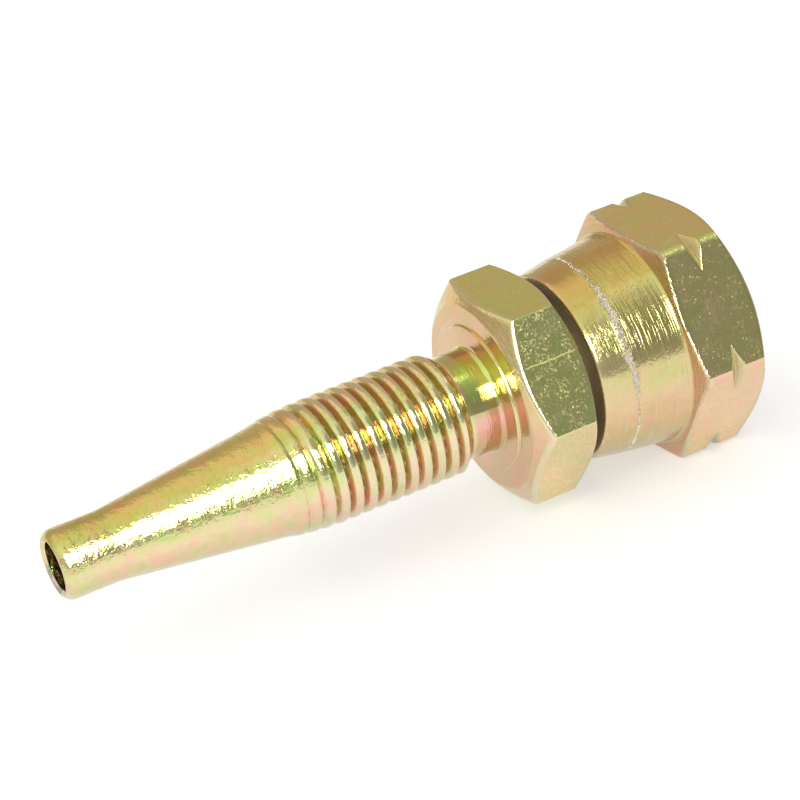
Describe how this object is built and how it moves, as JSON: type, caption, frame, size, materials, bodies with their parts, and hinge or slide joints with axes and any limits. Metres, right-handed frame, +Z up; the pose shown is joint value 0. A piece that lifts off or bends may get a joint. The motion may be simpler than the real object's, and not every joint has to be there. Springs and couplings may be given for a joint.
{
  "type": "hose fitting insert with female swivel nut",
  "caption": "Reusable hose insert: bored tail with a shallow cone and a rounded thread, a hexagon, and a hexagon nut with a female thread that swivels on it.",
  "frame": {"origin": "centre of the bore's mouth at the tip of the hose tail", "axes": "+X along the common axis from the hose tail to the open end of the nut, +Z up, with one flat of each hexagon facing down (-Z)"},
  "size_m": [0.0587, 0.022, 0.019],
  "materials": {
    "yellow_zinc_insert": "bright turned steel, zinc plated, yellow passivated with olive, green and pink tints",
    "yellow_zinc_nut": "turned steel, zinc plated, yellow passivated, plating flaked along the crimp line"
  },
  "bodies": {
    "insert_body": {"insert": "yellow_zinc_insert"},
    "nut_body": {"swivel_nut": "yellow_zinc_nut"}
  },
  "joints": [
    {"name": "nut_swivel", "type": "hinge", "parent": "insert_body", "child": "nut_body", "pos_m": [0.05043, 0, 0], "axis": [1, 0, 0], "continuous": true}
  ]
}
